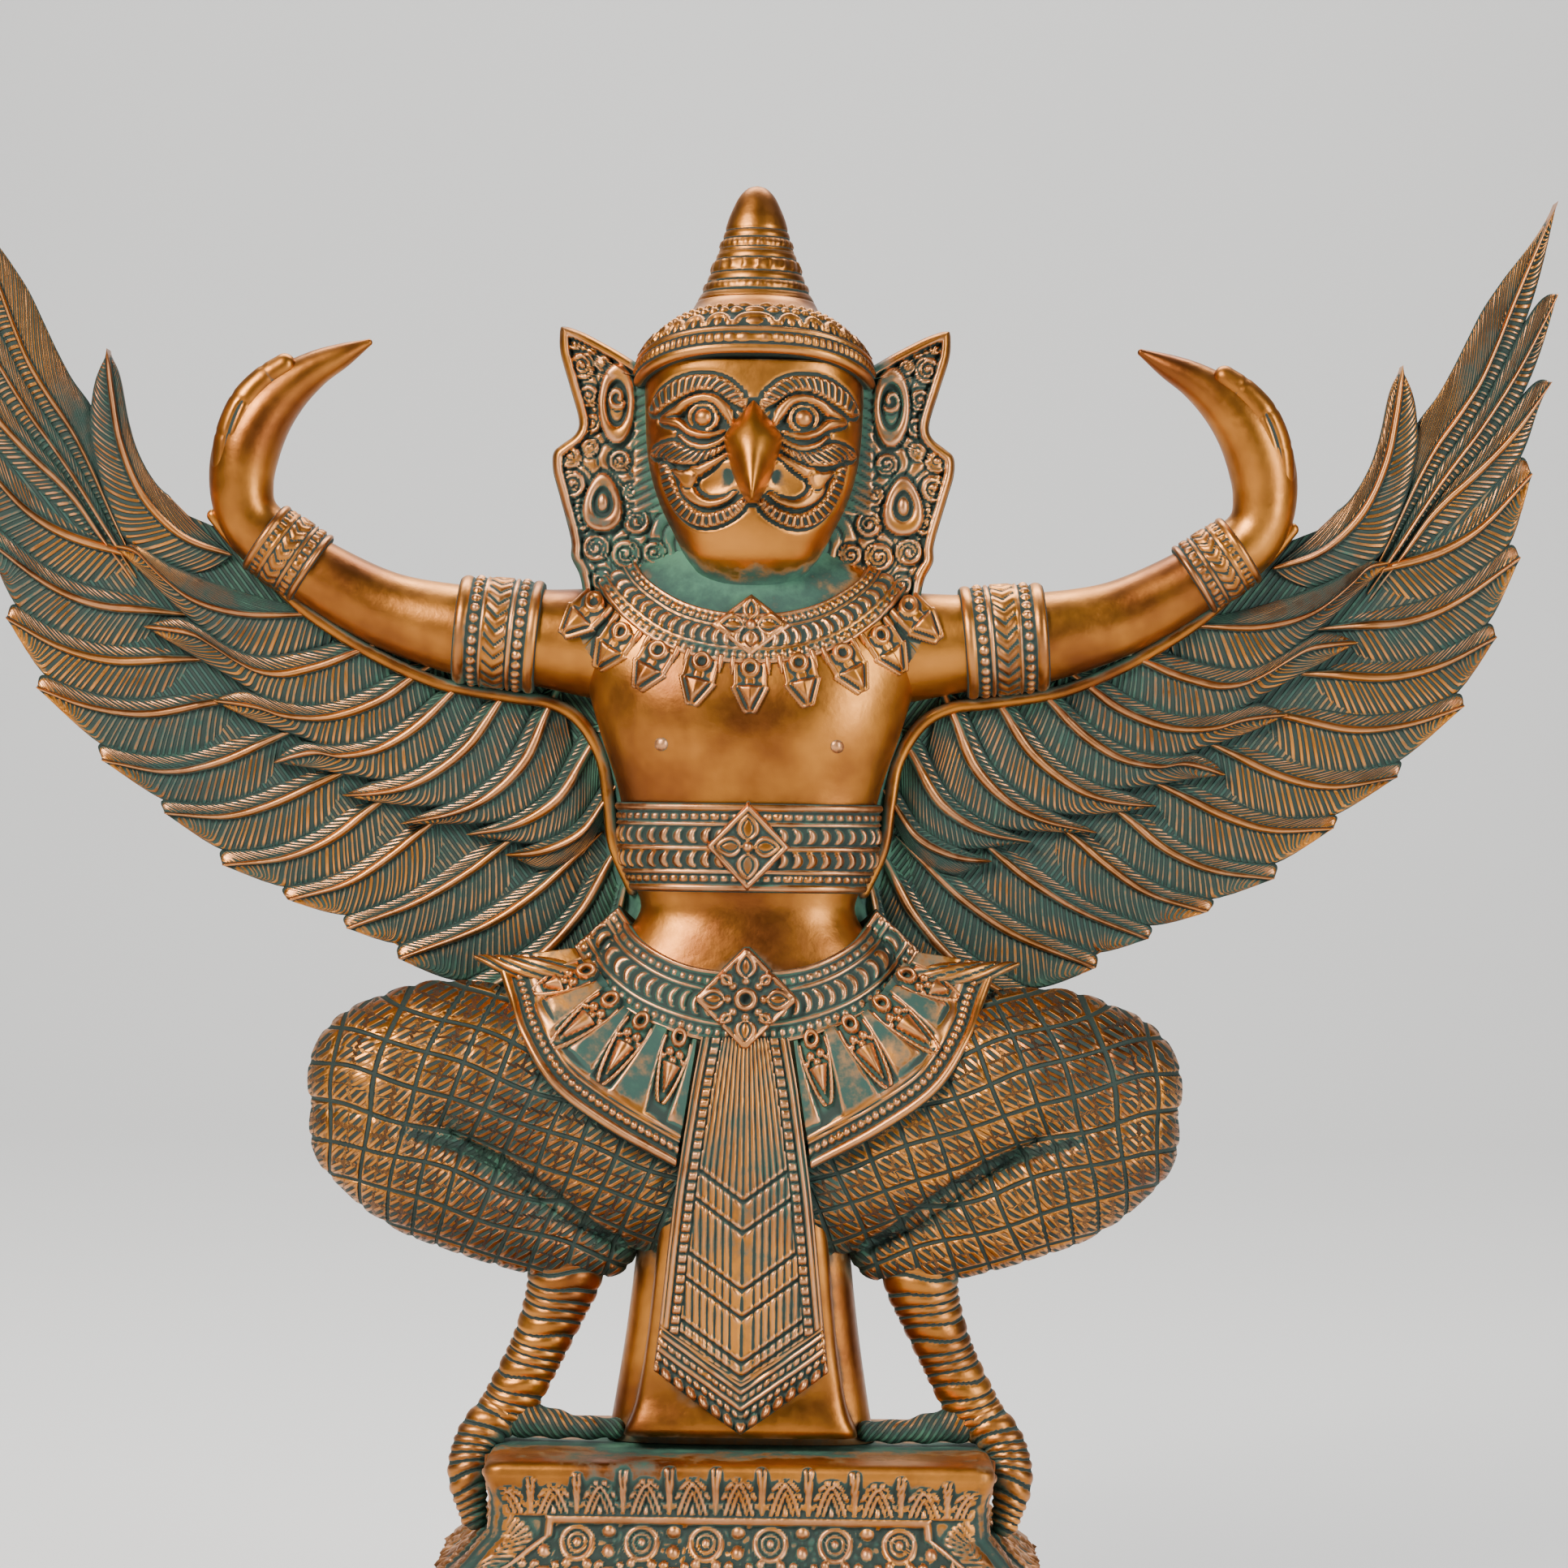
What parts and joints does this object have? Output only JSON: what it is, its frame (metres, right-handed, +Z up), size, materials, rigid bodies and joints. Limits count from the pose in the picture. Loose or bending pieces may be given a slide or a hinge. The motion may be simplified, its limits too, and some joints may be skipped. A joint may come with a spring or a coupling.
{
  "type": "garuda figure",
  "caption": "Cast brass garuda figure squatting with raised arms and spread feathered wings on a flared, petal-banded plinth.",
  "frame": {"origin": "centre of the plinth's flat underside", "axes": "+Z up, the figure faces -Y, +X to the viewer's right along the wing span"},
  "size_m": [0.3928, 0.104, 0.3788],
  "materials": {
    "figure_brass": "worn glossy orange-gold on the raised work, dark brown and green patina in the recesses",
    "plinth_brass": "worn glossy orange-gold on the mouldings, dark brown and green patina in the recesses"
  },
  "bodies": {
    "root": {"garuda_figure": "figure_brass", "plinth": "plinth_brass"}
  },
  "joints": []
}
